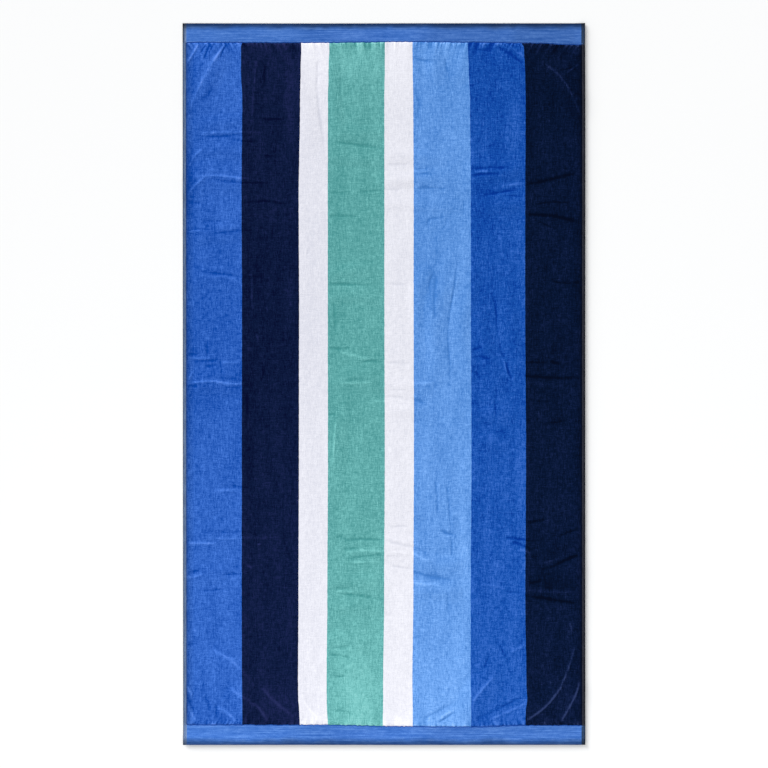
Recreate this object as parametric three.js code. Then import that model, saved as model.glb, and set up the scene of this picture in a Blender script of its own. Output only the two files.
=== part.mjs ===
import * as THREE from 'three';

// A beach towel lying flat, in millimetres: X runs across it, Y along it and Z up.
// It is one length of velour terry. A pile field lies between two flat-woven headers, whose
// outer parts are turned under, and narrow turned hems run down both sides.

// Driving dimensions
const WIDTH = 965;
const LENGTH = 1727;
const PILE_THICKNESS = 3.0;
const HEADER_THICKNESS = 2.2;
const SIDE_HEM_THICKNESS = 1.8;
const SIDE_HEM_WIDTH = 7.5;
const SEAM_THICKNESS = 1.5;
const EDGE_THICKNESS = 1.0;
const EDGE_LIFT = 0.4;
const PILE_WAVER = 0.25;
const PILE_COLOUR = 0x2f6db8;

// How finely the pile field is divided
const FIELD_COLUMNS = 30;
const FIELD_ROWS = 50;
const FOLD_STEPS = 12;

// How far the folds' lines wander to each side
const WANDER = 4;

// Section through a side hem, from the outside in
const SIDE_SECTION = [
  { inset: 0, thickness: EDGE_THICKNESS, lift: EDGE_LIFT },
  { inset: 2, thickness: SIDE_HEM_THICKNESS, lift: 0 },
  { inset: SIDE_HEM_WIDTH, thickness: SIDE_HEM_THICKNESS - 0.1, lift: 0 },
  { inset: SIDE_HEM_WIDTH + 3, thickness: PILE_THICKNESS - 0.4, lift: 0 },
  { inset: SIDE_HEM_WIDTH + 8, thickness: PILE_THICKNESS, lift: 0 },
];

// Section through a header, from the towel's end to the pile. A station lies at its share
// of the header's depth, plus its offset.
const HEADER_SECTION = [
  { share: 0, offset: 0, thickness: EDGE_THICKNESS, lift: EDGE_LIFT },
  { share: 0, offset: 3, thickness: HEADER_THICKNESS - 0.4, lift: 0 },
  { share: 0, offset: 11, thickness: HEADER_THICKNESS, lift: 0 },
  { share: 0.6, offset: 0, thickness: HEADER_THICKNESS, lift: 0 },
  { share: 1, offset: -4, thickness: HEADER_THICKNESS - 0.1, lift: 0 },
  { share: 1, offset: 0, thickness: SEAM_THICKNESS, lift: 0.2 },
  { share: 1, offset: 4, thickness: PILE_THICKNESS - 0.4, lift: 0 },
  { share: 1, offset: 10, thickness: PILE_THICKNESS, lift: 0 },
];

// Depth of the two headers, which the seams leave uneven across the towel
const HEADER_DEPTH = [
  { x: -482, head: 44.6, foot: 49.1 },
  { x: -180, head: 42.3, foot: 47.8 },
  { x: 60, head: 42.3, foot: 44.0 },
  { x: 210, head: 44.0, foot: 43.0 },
  { x: 340, head: 46.0, foot: 46.7 },
  { x: 482, head: 51.8, foot: 46.7 },
];

// How far each edge draws in from the overall size
const SIDE_DRIFT = [
  { y: -863, left: 1.7, right: 0.5 },
  { y: 0, left: 0.9, right: 0.3 },
  { y: 580, left: 0.4, right: 0 },
  { y: 863, left: 0, right: 0.9 },
];
const END_DRIFT = [
  { x: -482, head: 0.1, foot: 0 },
  { x: -155, head: 0.6, foot: 0.2 },
  { x: 120, head: 0, foot: 0 },
  { x: 482, head: 0.2, foot: 0.3 },
];

// The main folds. Each runs from one place (x, y) over another to a third and reaches half
// its width to each side. A ridge is lifted by its rise at the middle of its own line.
const RIDGES = [
  { from: [-384, 815], over: [-415, 773], to: [-468, 640], half: 46, rise: 2.6 },
  { from: [-298, 805], over: [-314, 718], to: [-314, 610], half: 38, rise: 1.7 },
  { from: [366, 786], over: [436, 728], to: [478, 640], half: 44, rise: 2.6 },
  { from: [190, 516], over: [254, 520], to: [326, 513], half: 38, rise: 1.5 },
  { from: [-476, 436], over: [-427, 495], to: [-270, 477], half: 44, rise: 2.4 },
  { from: [330, 410], over: [398, 412], to: [480, 394], half: 38, rise: 2.4 },
  { from: [-480, 364], over: [-410, 364], to: [-325, 365], half: 36, rise: 1.5 },
  { from: [-460, 255], over: [-391, 258], to: [-320, 256], half: 38, rise: 1.4 },
  { from: [-130, 15], over: [-62, 14], to: [4, 4], half: 36, rise: 1.5 },
  { from: [-480, 1], over: [-410, 6], to: [-322, 5], half: 40, rise: 2.3 },
  { from: [334, 0], over: [386, 2], to: [440, 2], half: 36, rise: 1.4 },
  { from: [-107, -66], over: [-115, -134], to: [-124, -206], half: 36, rise: 1.6 },
  { from: [-458, -362], over: [-391, -359], to: [-325, -361], half: 38, rise: 1.4 },
  { from: [-480, -452], over: [-441, -452], to: [-366, -461], half: 36, rise: 1.5 },
  { from: [-94, -406], over: [41, -394], to: [124, -424], half: 40, rise: 1.7 },
  { from: [326, -491], over: [405, -490], to: [480, -497], half: 40, rise: 1.9 },
  { from: [-415, -630], over: [-374, -661], to: [-333, -698], half: 36, rise: 1.6 },
  { from: [-372, -733], over: [-316, -776], to: [-264, -812], half: 36, rise: 1.9 },
  { from: [-300, -724], over: [-252, -771], to: [-196, -812], half: 36, rise: 1.9 },
  { from: [274, -690], over: [216, -747], to: [184, -812], half: 40, rise: 1.9 },
  { from: [440, -674], over: [410, -750], to: [330, -812], half: 38, rise: 3.0 },
  { from: [476, -700], over: [455, -762], to: [428, -816], half: 34, rise: 2.7 },
];

// A trough stays down on the floor, between two shoulders that are lifted by its rise.
const TROUGHS = [
  { from: [-162, 815], over: [-156, 684], to: [-137, 530], half: 62, rise: 1.4 },
  { from: [262, 815], over: [328, 768], to: [392, 740], half: 60, rise: 1.8 },
  { from: [156, 815], over: [154, 766], to: [156, 716], half: 56, rise: 1.3 },
  { from: [-464, 590], over: [-369, 592], to: [-278, 591], half: 58, rise: 1.4 },
  { from: [-146, 590], over: [-70, 570], to: [18, 567], half: 56, rise: 1.2 },
  { from: [-14, 530], over: [62, 519], to: [146, 496], half: 54, rise: 1.3 },
  { from: [-20, 465], over: [74, 459], to: [180, 465], half: 54, rise: 1.1 },
  { from: [190, 446], over: [336, 476], to: [480, 502], half: 62, rise: 1.6 },
  { from: [-146, 239], over: [-70, 240], to: [10, 239], half: 54, rise: 1.4 },
  { from: [134, 276], over: [110, 206], to: [114, 130], half: 56, rise: 1.4 },
  { from: [182, 290], over: [153, 141], to: [164, -6], half: 60, rise: 1.7 },
  { from: [252, 236], over: [276, 93], to: [308, -16], half: 58, rise: 1.2 },
  { from: [-14, -26], over: [48, -31], to: [114, -48], half: 54, rise: 1.3 },
  { from: [206, -113], over: [259, -106], to: [312, -113], half: 56, rise: 1.1 },
  { from: [54, -445], over: [129, -462], to: [192, -470], half: 60, rise: 1.9 },
  { from: [-144, -490], over: [-67, -501], to: [16, -516], half: 56, rise: 1.3 },
  { from: [376, -443], over: [431, -422], to: [480, -400], half: 56, rise: 1.9 },
  { from: [-142, -632], over: [-93, -648], to: [-40, -653], half: 54, rise: 1.2 },
];

// The value that a table of stations gives at a place, eased from one station to the next.
function eased(stations, axis, place, column) {
  const next = stations.findIndex((station) => station[axis] >= place);
  if (next < 0) return stations.at(-1)[column];
  if (next === 0) return stations[0][column];
  const before = stations[next - 1];
  const after = stations[next];
  const share = THREE.MathUtils.smoothstep(place, before[axis], after[axis]);
  return THREE.MathUtils.lerp(before[column], after[column], share);
}

// A place moved aside a little, so that a fold read there wanders from its smooth line.
function drifted(x, y) {
  const aside = WANDER * Math.sin(y / 31 + x / 57);
  const along = WANDER * Math.sin(x / 29 - y / 43);
  return new THREE.Vector2(x + aside, y + along);
}

// A fold with the points of its line worked out, a smooth curve over its three places.
function laidOut(fold) {
  const places = [fold.from, fold.over, fold.to].map(([x, y]) => new THREE.Vector2(x, y));
  return { ...fold, line: new THREE.SplineCurve(places).getPoints(FOLD_STEPS) };
}

// How far a place lies from a fold's line, as a share of its half width, and how strong
// the fold is there: full at its middle and fading to nothing at its ends.
function reach(fold, place) {
  let nearest = Infinity;
  let strength = 0;
  const onLine = new THREE.Vector2();
  for (let step = 0; step < FOLD_STEPS; step++) {
    const start = fold.line[step];
    const along = fold.line[step + 1].clone().sub(start);
    const share = THREE.MathUtils.clamp(
      place.clone().sub(start).dot(along) / along.lengthSq(), 0, 1);
    const distance = onLine.copy(along).multiplyScalar(share).add(start).distanceTo(place);
    if (distance < nearest) {
      nearest = distance;
      strength = Math.sin((Math.PI * (step + share)) / FOLD_STEPS);
    }
  }
  return { across: nearest / fold.half, strength };
}

const ridges = RIDGES.map(laidOut);
const troughs = TROUGHS.map(laidOut);

// Height of the cloth's underside over the floor. It is exactly nothing away from the folds.
function foldLift(x, y) {
  const place = drifted(x, y);
  let lift = 0;
  for (const ridge of ridges) {
    const { across, strength } = reach(ridge, place);
    if (across < 1) lift += ridge.rise * strength * (1 - across ** 2) ** 2;
  }
  for (const trough of troughs) {
    const { across, strength } = reach(trough, place);
    if (across < 1) lift += trough.rise * strength * 6.75 * across ** 2 * (1 - across ** 2) ** 2;
  }
  return lift;
}

// Slow rise and fall of the pile's thickness, between -1 and 1
function pileWave(x, y) {
  return 0.5 * Math.sin(x / 61 + 1.3) * Math.sin(y / 83 + 0.4) + 0.5 * Math.sin(x / 37 - y / 49);
}

// Stations across the towel and along it. The section of a hem or header is mirrored onto
// the far side, with the field's even divisions between.
function stations(section, divisions) {
  const near = section.map((station) => ({ ...station, fromFar: false, fieldShare: 0 }));
  const far = near.map((station) => ({ ...station, fromFar: true })).reverse();
  const field = [];
  for (let step = 1; step < divisions; step++) {
    field.push({ thickness: PILE_THICKNESS, lift: 0, fieldShare: step / divisions });
  }
  return [...near, ...field, ...far];
}

// Where a row meets the plan's Y axis at a given x: its foot and head headers differ in depth.
function rowPlace(row, x) {
  const inset = (end, station) =>
    eased(END_DRIFT, 'x', x, end) +
    station.share * eased(HEADER_DEPTH, 'x', x, end) + station.offset;
  if (row.fieldShare === 0 && row.fromFar) return LENGTH / 2 - inset('head', row);
  if (row.fieldShare === 0) return -LENGTH / 2 + inset('foot', row);
  const pileEdge = HEADER_SECTION.at(-1);
  const start = -LENGTH / 2 + inset('foot', pileEdge);
  const end = LENGTH / 2 - inset('head', pileEdge);
  return THREE.MathUtils.lerp(start, end, row.fieldShare);
}

// Where a column lies at a given share of the towel's length
function columnPlace(column, y) {
  const left = -WIDTH / 2 + eased(SIDE_DRIFT, 'y', y, 'left');
  const right = WIDTH / 2 - eased(SIDE_DRIFT, 'y', y, 'right');
  if (column.fieldShare === 0 && column.fromFar) return right - column.inset;
  if (column.fieldShare === 0) return left + column.inset;
  const hemEdge = SIDE_SECTION.at(-1).inset;
  return THREE.MathUtils.lerp(left + hemEdge, right - hemEdge, column.fieldShare);
}

const columns = stations(SIDE_SECTION, FIELD_COLUMNS);
const rows = stations(HEADER_SECTION, FIELD_ROWS);

// The cloth's two faces share one grid of places, each with its underside and its top.
function clothPlaces() {
  const places = [];
  for (const row of rows) {
    for (const column of columns) {
      const y = rowPlace(row, columnPlace(column, 0));
      const x = columnPlace(column, y);
      const low = Math.max(row.lift, column.lift) + foldLift(x, y);
      const plain = Math.min(row.thickness, column.thickness);
      const waver = plain === PILE_THICKNESS ? PILE_WAVER * pileWave(x, y) : 0;
      places.push({ x, y, low, top: low + plain + waver });
    }
  }
  return places;
}

// Closes the two faces into one body: even vertices are the underside, odd ones the top.
function clothGeometry(places) {
  const positions = places.flatMap(({ x, y, low, top }) => [x, y, low, x, y, top]);
  const indices = [];
  const across = columns.length;
  for (let row = 0; row < rows.length - 1; row++) {
    for (let column = 0; column < across - 1; column++) {
      const a = row * across + column;
      const [b, c, d] = [a + 1, a + across + 1, a + across];
      const rising = Math.abs(places[a].low - places[c].low);
      const falling = Math.abs(places[b].low - places[d].low);
      const halves = rising <= falling ? [[a, b, c], [a, c, d]] : [[a, b, d], [b, c, d]];
      for (const [p, q, r] of halves) {
        indices.push(2 * p + 1, 2 * q + 1, 2 * r + 1, 2 * r, 2 * q, 2 * p);
      }
    }
  }
  const rim = outerPlaces();
  rim.forEach((place, step) => {
    const next = rim[(step + 1) % rim.length];
    indices.push(2 * place, 2 * next, 2 * next + 1, 2 * place, 2 * next + 1, 2 * place + 1);
  });
  const geometry = new THREE.BufferGeometry();
  geometry.setAttribute('position', new THREE.Float32BufferAttribute(positions, 3));
  geometry.setIndex(indices);
  geometry.computeVertexNormals();
  return geometry;
}

// The places round the towel's edge, in turn and anticlockwise from above
function outerPlaces() {
  const across = columns.length;
  const last = rows.length - 1;
  const foot = columns.map((_, column) => column);
  const right = rows.map((_, row) => row * across + across - 1);
  const head = columns.map((_, column) => last * across + column).reverse();
  const left = rows.map((_, row) => row * across).reverse();
  return [foot, right, head, left].flatMap((edge) => edge.slice(0, -1));
}

const material = new THREE.MeshStandardMaterial({
  color: PILE_COLOUR,
  roughness: 0.95,
  metalness: 0,
});
const towel = new THREE.Mesh(clothGeometry(clothPlaces()), material);
towel.name = 'towel';

const group = new THREE.Group();
group.add(towel);

export default group;
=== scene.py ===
# %% [markdown]
# # A striped beach towel, spread out flat
# The real towel is one length of cotton velour terry, 965 by 1727 mm. Its pile is sheared to a soft
# nap and woven in eight lengthwise stripes, a flat-woven header closes each end, and a narrow turned
# hem runs down both sides. This lesson builds the cloth as one thin sheet that lies on the folds of
# the part's solid, lays the sheared pile of each stripe on it, and sews and finishes it. The first
# cell loads the solid as a fixed frame and keeps its box, so that the finished cloth can be measured
# against it.

# %% Load the frame
import math
from collections import namedtuple

import bpy
import numpy as np
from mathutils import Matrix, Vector


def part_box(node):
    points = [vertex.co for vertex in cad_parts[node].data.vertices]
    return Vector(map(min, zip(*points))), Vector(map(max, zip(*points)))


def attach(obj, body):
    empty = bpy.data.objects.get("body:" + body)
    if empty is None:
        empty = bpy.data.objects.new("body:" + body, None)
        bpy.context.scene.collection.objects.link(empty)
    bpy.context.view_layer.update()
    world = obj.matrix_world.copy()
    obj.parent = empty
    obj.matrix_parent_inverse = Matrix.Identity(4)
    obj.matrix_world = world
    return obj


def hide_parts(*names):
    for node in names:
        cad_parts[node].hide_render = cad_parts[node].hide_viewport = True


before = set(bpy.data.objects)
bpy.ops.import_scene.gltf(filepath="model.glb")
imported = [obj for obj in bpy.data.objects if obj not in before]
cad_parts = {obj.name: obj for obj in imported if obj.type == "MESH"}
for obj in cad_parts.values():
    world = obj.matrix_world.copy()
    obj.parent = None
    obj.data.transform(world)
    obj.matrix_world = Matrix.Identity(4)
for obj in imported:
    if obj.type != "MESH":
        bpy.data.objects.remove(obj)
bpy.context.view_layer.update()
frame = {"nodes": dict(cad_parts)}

print("the frame holds", ", ".join(frame["nodes"]))

# %% [markdown]
# ## Sizes
# Cloth is measured in millimetres and Blender in metres, so every size below is in millimetres and
# one constant turns it to metres. The overall size comes from the solid. Towelling is thickest at its
# pile, thinner at the headers, and thinnest where a line of sewing pulls it down. Under the pile lies
# the ground, the woven cloth that holds the pile's roots.

# %% Measure the solid and name the cloth's sizes
MM = 0.001
LOW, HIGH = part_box("towel")
WIDTH = (HIGH.x - LOW.x) / MM
LENGTH = (HIGH.y - LOW.y) / MM
PILE = 3.0
GROUND = 1.0
ROOTS = 0.7
HEM_WIDTH = 7.5
print(f"towel {WIDTH:.0f} by {LENGTH:.0f} mm")

# %% [markdown]
# ## Camera and light
# The towel is shown from straight above, so the camera looks down with +Y at the top, and a long lens
# keeps its edges square. A bright room all round gives most of the light. A soft window light from
# the upper left, low enough to rake the creases, lays a short shadow along the right and lower edges,
# and a softbox beyond the towel's foot makes that end the brighter one.

# %% Set the camera
LENS = 100
SENSOR = 36
VIEW_WIDTH = 1838
camera_data = bpy.data.cameras.new("camera")
camera_data.lens = LENS
camera_data.sensor_width = SENSOR
camera = bpy.data.objects.new("camera", camera_data)
bpy.context.collection.objects.link(camera)
camera.location = (0, 0, (VIEW_WIDTH * LENS / SENSOR + PILE) * MM)
bpy.context.scene.camera = camera
print(f"camera {camera.location.z:.2f} m above the floor")


# %% Light the studio
def add_light(name, kind, place, aim, **settings):
    """Adds a light at a place in metres, turned to face its aim."""
    data = bpy.data.lights.new(name, kind)
    for setting, value in settings.items():
        setattr(data, setting, value)
    light = bpy.data.objects.new(name, data)
    bpy.context.collection.objects.link(light)
    light.location = place
    light.rotation_mode = "QUATERNION"
    light.rotation_quaternion = (Vector(aim) - Vector(place)).to_track_quat("-Z", "Y")


add_light("window_light", "SUN", (-1, 1, 0.62), (0, 0, 0), energy=2.55, angle=math.radians(38))
add_light(
    "softbox", "AREA", (0, -1.7, 1.25), (0, -0.75, 0),
    shape="RECTANGLE", size=1.4, size_y=0.6, energy=4)

world = bpy.data.worlds.new("bright_room")
world.use_nodes = True
room = world.node_tree.nodes["Background"].inputs
room["Color"].default_value = (0.97, 0.98, 1, 1)
room["Strength"].default_value = 0.685
bpy.context.scene.world = world
bpy.context.scene.view_settings.view_transform = "Standard"
print(len(bpy.data.lights), "soft lights in a bright room")

# %% [markdown]
# ## Colours and nodes
# Dyers' and screen colours are written as sRGB hex codes, while Blender's shaders work in linear
# light, so one function turns the one into the other. A second one adds a shader node with its
# settings and links, which keeps each material's recipe readable as a list of steps.

# %% Helpers for materials
def linear(code):
    """The linear colour of a hex code such as "#2f6db8", by the two parts of the sRGB curve."""
    parts = [int(code[place:place + 2], 16) / 255 for place in (1, 3, 5)]
    return [p / 12.92 if p <= 0.04045 else ((p + 0.055) / 1.055) ** 2.4 for p in parts] + [1]


def add(tree, kind, inputs=None, **settings):
    """Adds a node with its settings, and sets or links its inputs, which are named or numbered."""
    made = tree.nodes.new(kind)
    for name, value in settings.items():
        setattr(made, name, value)
    for name, value in (inputs or {}).items():
        if isinstance(value, bpy.types.NodeSocket):
            tree.links.new(value, made.inputs[name])
        else:
            made.inputs[name].default_value = value
    return made


def new_material(name, values):
    """A material, its node tree and its Principled shader, which is given its plain values."""
    material = bpy.data.materials.new(name)
    material.use_nodes = True
    shader = material.node_tree.nodes["Principled BSDF"]
    for setting, value in values.items():
        shader.inputs[setting].default_value = value
    return material, material.node_tree, shader


print("helpers ready")

# %% [markdown]
# ## Floor
# A plain pale floor takes the shadow. It is a wide disc of matt paint, a hair below the cloth so that
# the two faces never share a plane.

# %% Lay the floor
FLOOR_RADIUS = 30
FLOOR_DROP = 0.2
bpy.ops.object.select_all(action="DESELECT")
bpy.ops.mesh.primitive_circle_add(
    vertices=96, radius=FLOOR_RADIUS, fill_type="NGON", location=(0, 0, -FLOOR_DROP * MM))
floor = bpy.context.object
floor.name = "floor"
bpy.ops.object.transform_apply(location=True)
paint, _, _ = new_material("matt_floor_paint", {
    "Base Color": linear("#fbfbfa"), "Roughness": 0.9, "Specular IOR Level": 0.2})
floor.data.materials.append(paint)
print("floor", FLOOR_RADIUS * 2, "m across")

# %% [markdown]
# ## Edges, seams and stripes
# A hand-finished towel has no ruled line in it. The sewing has left each header a little deeper in
# one place than another, the edges drift by a millimetre or two, and the stripes pull sideways with
# the cloth. Each of these lines is a short table with named columns, read with an easing curve from
# one row to the next. The gathers of the pile also scallop each seam, which a smooth noise draws.
# The noise is seeded, so that the towel is the same one each time.

# %% Tables of the edges, seams and stripes
def table(columns, rows):
    """A table's rows, with their values named for its columns."""
    return list(map(namedtuple("Row", columns)._make, rows))


HEADER_DEPTH = table("x head foot", [
    (-482, 46.4, 47.5), (-180, 46.3, 46.8), (60, 44.2, 43), (210, 45.7, 42), (340, 47.2, 45.7),
    (482, 52.5, 45.7),
])
END_DRIFT = table("x head foot", [
    (-482, 0, 0.4), (-155, 0.4, 0.6), (120, 0, 0.4), (482, 0, 0.7),
])
SIDE_DRIFT = table("y left right", [
    (-863, 1.7, 1), (0, 1, 1.2), (580, 0.6, 0.9), (863, 0.4, 1.5),
])

STRIPES = ["blue", "navy", "white", "sea_green", "white_2", "light_blue", "royal", "deep_navy"]

# Where each stripe begins and the last one ends on the loom, and where each after the first
# begins on the finished towel
LOOM = np.array([-WIDTH / 2, -340.4, -203.7, -134.6, 0.8, 70.5, 207.9, 338.3, WIDTH / 2])
STRIPE_EDGES = table(["y"] + STRIPES[1:], [
    (-805, -339.3, -201.9, -134.8, -2.8, 68.8, 208.7, 338.6),
    (-781, -339.1, -203, -136.4, -2.2, 68.7, 208.3, 339.4),
    (-757, -339.4, -205, -137.1, -2, 68.5, 208.6, 342.6),
    (-709, -340, -205.7, -137.5, -1.9, 67.8, 207.4, 340.6),
    (-520, -340.5, -204.7, -135.6, 0.2, 70.1, 207.5, 338.3),
    (-160, -340.3, -203.6, -134.2, 1.9, 71.6, 209.4, 339.8),
    (200, -339.8, -203.2, -134.5, 1, 70.8, 207.9, 338),
    (440, -341, -204.2, -134.6, 0.9, 71, 207.8, 338),
    (680, -339.3, -200.7, -134, 0.8, 70, 206, 339),
    (750, -342.2, -199.3, -132.8, 1.8, 68.9, 203.1, 337.8),
    (805, -342.2, -198.1, -131, 2, 68.1, 200.7, 334.8),
    (818, -339.6, -198.1, -131, 2, 68.1, 200.7, 328.6),
])


def profile(stations, place):
    """The value at each place, on straight lines between stations of a place and a value."""
    return np.interp(place, *zip(*stations))


def smooth(share):
    """A share from nothing to one, made to start and stop gently."""
    return share * share * (3 - 2 * share)


def eased(stations, place, column):
    """A table's value at each place, eased from one row of the table to the next."""
    at = np.array([row[0] for row in stations], float)
    value = np.array([getattr(row, column) for row in stations], float)
    after = np.clip(np.searchsorted(at, place), 1, len(at) - 1)
    share = smooth(np.clip((place - at[after - 1]) / (at[after] - at[after - 1]), 0, 1))
    return value[after - 1] * (1 - share) + value[after] * share


print("the head's header is", eased(HEADER_DEPTH, np.zeros(1), "head")[0].round(1), "mm deep")

# %% Make smooth noise
LATTICE = 512


def waver(x, y, across, along, seed):
    """Smooth noise from -1 to 1, with bumps of the size asked for, in millimetres."""
    lattice = np.random.default_rng(seed).uniform(-1, 1, (LATTICE, LATTICE))
    u, v = x / across + LATTICE / 2, y / along + LATTICE / 2
    i, j = np.floor(u).astype(int), np.floor(v).astype(int)
    u, v = smooth(u - i), smooth(v - j)
    i, j, right, above = i % LATTICE, j % LATTICE, (i + 1) % LATTICE, (j + 1) % LATTICE
    lower = lattice[i, j] * (1 - u) + lattice[right, j] * u
    upper = lattice[i, above] * (1 - u) + lattice[right, above] * u
    return lower * (1 - v) + upper * v


def rippled(ripples, x, y):
    """The sum of a table of noises, each with its own width, length, height and seed."""
    return sum(r.height * waver(x, y, r.across, r.along, r.seed) for r in ripples)


print("noise at the middle:", waver(np.zeros(1), np.zeros(1), 10, 10, 1).round(2))

# %% Draw the line of each seam
RIPPLE = "across along height seed"  # a noise's bumps are so wide, long and high
SCALLOPS = {
    "head": table(RIPPLE, [(4.8, 1, 0.8, 81)]),
    "foot": table(RIPPLE, [(4.8, 1, 0.8, 82)])}


def seam_inset(x, end):
    """How far in from the towel's overall end its seam lies. The gathers scallop it."""
    line = eased(END_DRIFT, x, end) + eased(HEADER_DEPTH, x, end)
    return line + rippled(SCALLOPS[end], x, np.zeros_like(x))


print("the head's seam lies", seam_inset(np.zeros(1), "head")[0].round(1), "mm in at the middle")

# %% Measure how far a place lies from the edges
Inset = namedtuple("Inset", "left right foot head side end seam")


def inset(x, y):
    """How far each place lies from the four edges, and from the nearest side, end and seam.

    The last is negative in a header.
    """
    left = x + WIDTH / 2 - eased(SIDE_DRIFT, y, "left")
    right = WIDTH / 2 - x - eased(SIDE_DRIFT, y, "right")
    foot = y + LENGTH / 2 - eased(END_DRIFT, x, "foot")
    head = LENGTH / 2 - y - eased(END_DRIFT, x, "head")
    foot_seam = y + LENGTH / 2 - seam_inset(x, "foot")
    head_seam = LENGTH / 2 - y - seam_inset(x, "head")
    return Inset(
        left, right, foot, head,
        np.minimum(left, right), np.minimum(foot, head), np.minimum(foot_seam, head_seam))


print("the middle lies", inset(np.zeros(1), np.zeros(1)).side[0].round(), "mm from the nearest side")

# %% [markdown]
# ## Folds and creases
# A towel that has been folded away keeps its creases when it is spread out. The main folds are those
# of the solid: a ridge lifts its own line, and a trough stays down between two lifted shoulders. The
# finer creases are pressed into the nap, up or down. Each is given as a line from one place over
# another to a third, with how far it reaches to each side and how high it rises. All of them fade out
# at their ends, and a slow drift of the lines keeps any of them from looking ruled.

# %% Tables of the main folds
FOLD = "x0 y0 x1 y1 x2 y2 half rise"  # half is how far a fold reaches to each side
RIDGES = table(FOLD, [
    (-384, 815, -415, 773, -468, 640, 46, 2.6),
    (-298, 805, -314, 718, -314, 610, 38, 1.7),
    (366, 786, 436, 728, 478, 640, 44, 2.6),
    (190, 516, 254, 520, 326, 513, 38, 1.5),
    (-476, 436, -427, 495, -270, 477, 44, 2.4),
    (330, 410, 398, 412, 480, 394, 38, 2.4),
    (-480, 364, -410, 364, -325, 365, 36, 1.5),
    (-460, 255, -391, 258, -320, 256, 38, 1.4),
    (-130, 15, -62, 14, 4, 4, 36, 1.5),
    (-480, 1, -410, 6, -322, 5, 40, 2.3),
    (334, 0, 386, 2, 440, 2, 36, 1.4),
    (-107, -66, -115, -134, -124, -206, 36, 1.6),
    (-458, -362, -391, -359, -325, -361, 38, 1.4),
    (-480, -452, -441, -452, -366, -461, 36, 1.5),
    (-94, -406, 41, -394, 124, -424, 40, 1.7),
    (326, -491, 405, -490, 480, -497, 40, 1.9),
    (-415, -630, -374, -661, -333, -698, 36, 1.6),
    (-372, -733, -316, -776, -264, -812, 36, 1.9),
    (-300, -724, -252, -771, -196, -812, 36, 1.9),
    (274, -690, 216, -747, 184, -812, 40, 1.9),
    (440, -674, 410, -750, 330, -812, 38, 3),
    (476, -700, 455, -762, 428, -816, 34, 2.7),
])
TROUGHS = table(FOLD, [
    (-162, 815, -156, 684, -137, 530, 62, 1.4),
    (262, 815, 328, 768, 392, 740, 60, 1.8),
    (156, 815, 154, 766, 156, 716, 56, 1.3),
    (-464, 590, -369, 592, -278, 591, 58, 1.4),
    (-146, 590, -70, 570, 18, 567, 56, 1.2),
    (-14, 530, 62, 519, 146, 496, 54, 1.3),
    (-20, 465, 74, 459, 180, 465, 54, 1.1),
    (190, 446, 336, 476, 480, 502, 62, 1.6),
    (-146, 239, -70, 240, 10, 239, 54, 1.4),
    (134, 276, 110, 206, 114, 130, 56, 1.4),
    (182, 290, 153, 141, 164, -6, 60, 1.7),
    (252, 236, 276, 93, 308, -16, 58, 1.2),
    (-14, -26, 48, -31, 114, -48, 54, 1.3),
    (206, -113, 259, -106, 312, -113, 56, 1.1),
    (54, -445, 129, -462, 192, -470, 60, 1.9),
    (-144, -490, -67, -501, 16, -516, 56, 1.3),
    (376, -443, 431, -422, 480, -400, 56, 1.9),
    (-142, -632, -93, -648, -40, -653, 54, 1.2),
])
print(len(RIDGES), "ridges and", len(TROUGHS), "troughs")

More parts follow.
